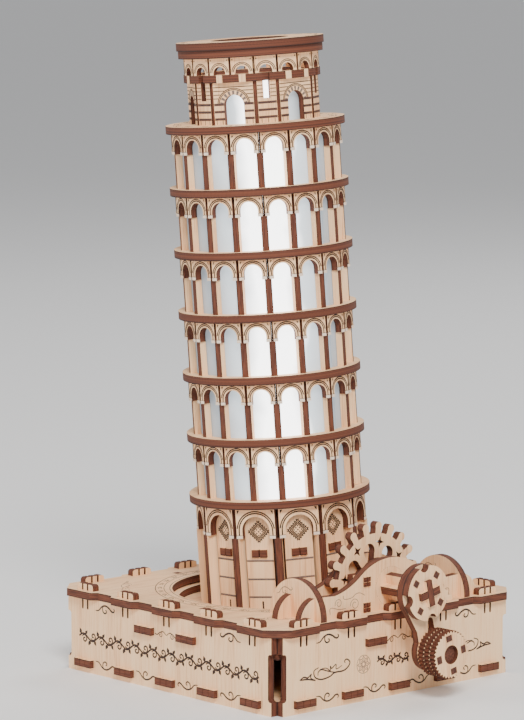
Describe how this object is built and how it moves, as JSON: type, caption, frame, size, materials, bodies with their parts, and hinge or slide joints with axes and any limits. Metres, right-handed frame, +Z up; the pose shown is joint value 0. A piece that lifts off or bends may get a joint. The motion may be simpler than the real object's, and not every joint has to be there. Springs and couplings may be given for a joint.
{
  "type": "mechanical plywood tower model",
  "caption": "Laser-cut plywood model of a leaning arcaded tower, lit from inside, on a turntable in a square base box, turned by a side crank with a knob through peg gears.",
  "frame": {"origin": "centre of the base box's underside, at the mouth of the pivot tube's cable bore", "axes": "+Z up, +X out of the crank side wall, -Y out of the front wall; the tower leans towards -X and -Y at rest"},
  "size_m": [0.2011, 0.1724, 0.3321],
  "materials": {
    "plywood": "uncoated birch plywood, laser-cut",
    "diffuser": "frosted sheet, lit from inside",
    "lamp": "white"
  },
  "bodies": {
    "base": {"wall_front": "plywood", "wall_right": "plywood", "wall_back": "plywood", "wall_left": "plywood", "bottom_plate": "plywood", "shelf_frame": "plywood", "deck": "plywood", "panel_inner": "plywood", "panel_outer": "plywood", "cheeks": "plywood", "axle_support": "plywood", "support_ties": "plywood", "pivot_base": "plywood", "pivot_tube": "plywood"},
    "turntable": {"belfry_arches": "plywood", "belfry_band": "plywood", "belfry_key_blocks": "plywood", "cornice": "plywood", "crown": "plywood", "diffuser_tubes": "diffuser", "drum_narrow_panels": "plywood", "drum_posts": "plywood", "drum_wide_panels": "plywood", "gallery_arches_1": "plywood", "gallery_arches_2": "plywood", "gallery_arches_3": "plywood", "gallery_arches_4": "plywood", "gallery_arches_5": "plywood", "gallery_arches_6": "plywood", "gallery_posts": "plywood", "ground_arches": "plywood", "ground_fins": "plywood", "ground_panels": "plywood", "ground_tab_ring": "plywood", "lamp_post": "lamp", "rim_ring": "plywood", "ring_0": "plywood", "ring_1": "plywood", "ring_2": "plywood", "ring_3": "plywood", "ring_4": "plywood", "ring_5": "plywood", "ring_6": "plywood", "seat_ribs": "plywood", "tower_floor": "plywood", "turn_disc": "plywood", "turn_gear": "plywood", "turn_hub": "plywood"},
    "crank": {"axle_plate_flat": "plywood", "axle_plate_upright": "plywood", "drive_gear": "plywood", "axle_collars": "plywood", "crank_arm": "plywood", "crank_disc": "plywood", "crank_keys": "plywood", "crank_pin": "plywood"},
    "knob": {"knob_layer_back": "plywood", "knob_layer_middle": "plywood", "knob_layer_front": "plywood", "knob_keys": "plywood"}
  },
  "joints": [
    {"name": "turntable_spin", "type": "hinge", "parent": "base", "child": "turntable", "pos_m": [0, 0, 0.031], "axis": [0, 0, 1], "continuous": true},
    {"name": "crank_spin", "type": "hinge", "parent": "base", "child": "crank", "pos_m": [0.0754, 0, 0.055], "axis": [1, 0, 0], "continuous": true},
    {"name": "knob_spin", "type": "hinge", "parent": "crank", "child": "knob", "pos_m": [0.1086, 0.00647, 0.02427], "axis": [1, 0, 0], "continuous": true}
  ],
  "couplings": [
    {"joint": "crank_spin", "follows": "turntable_spin", "ratio": 2.25}
  ]
}
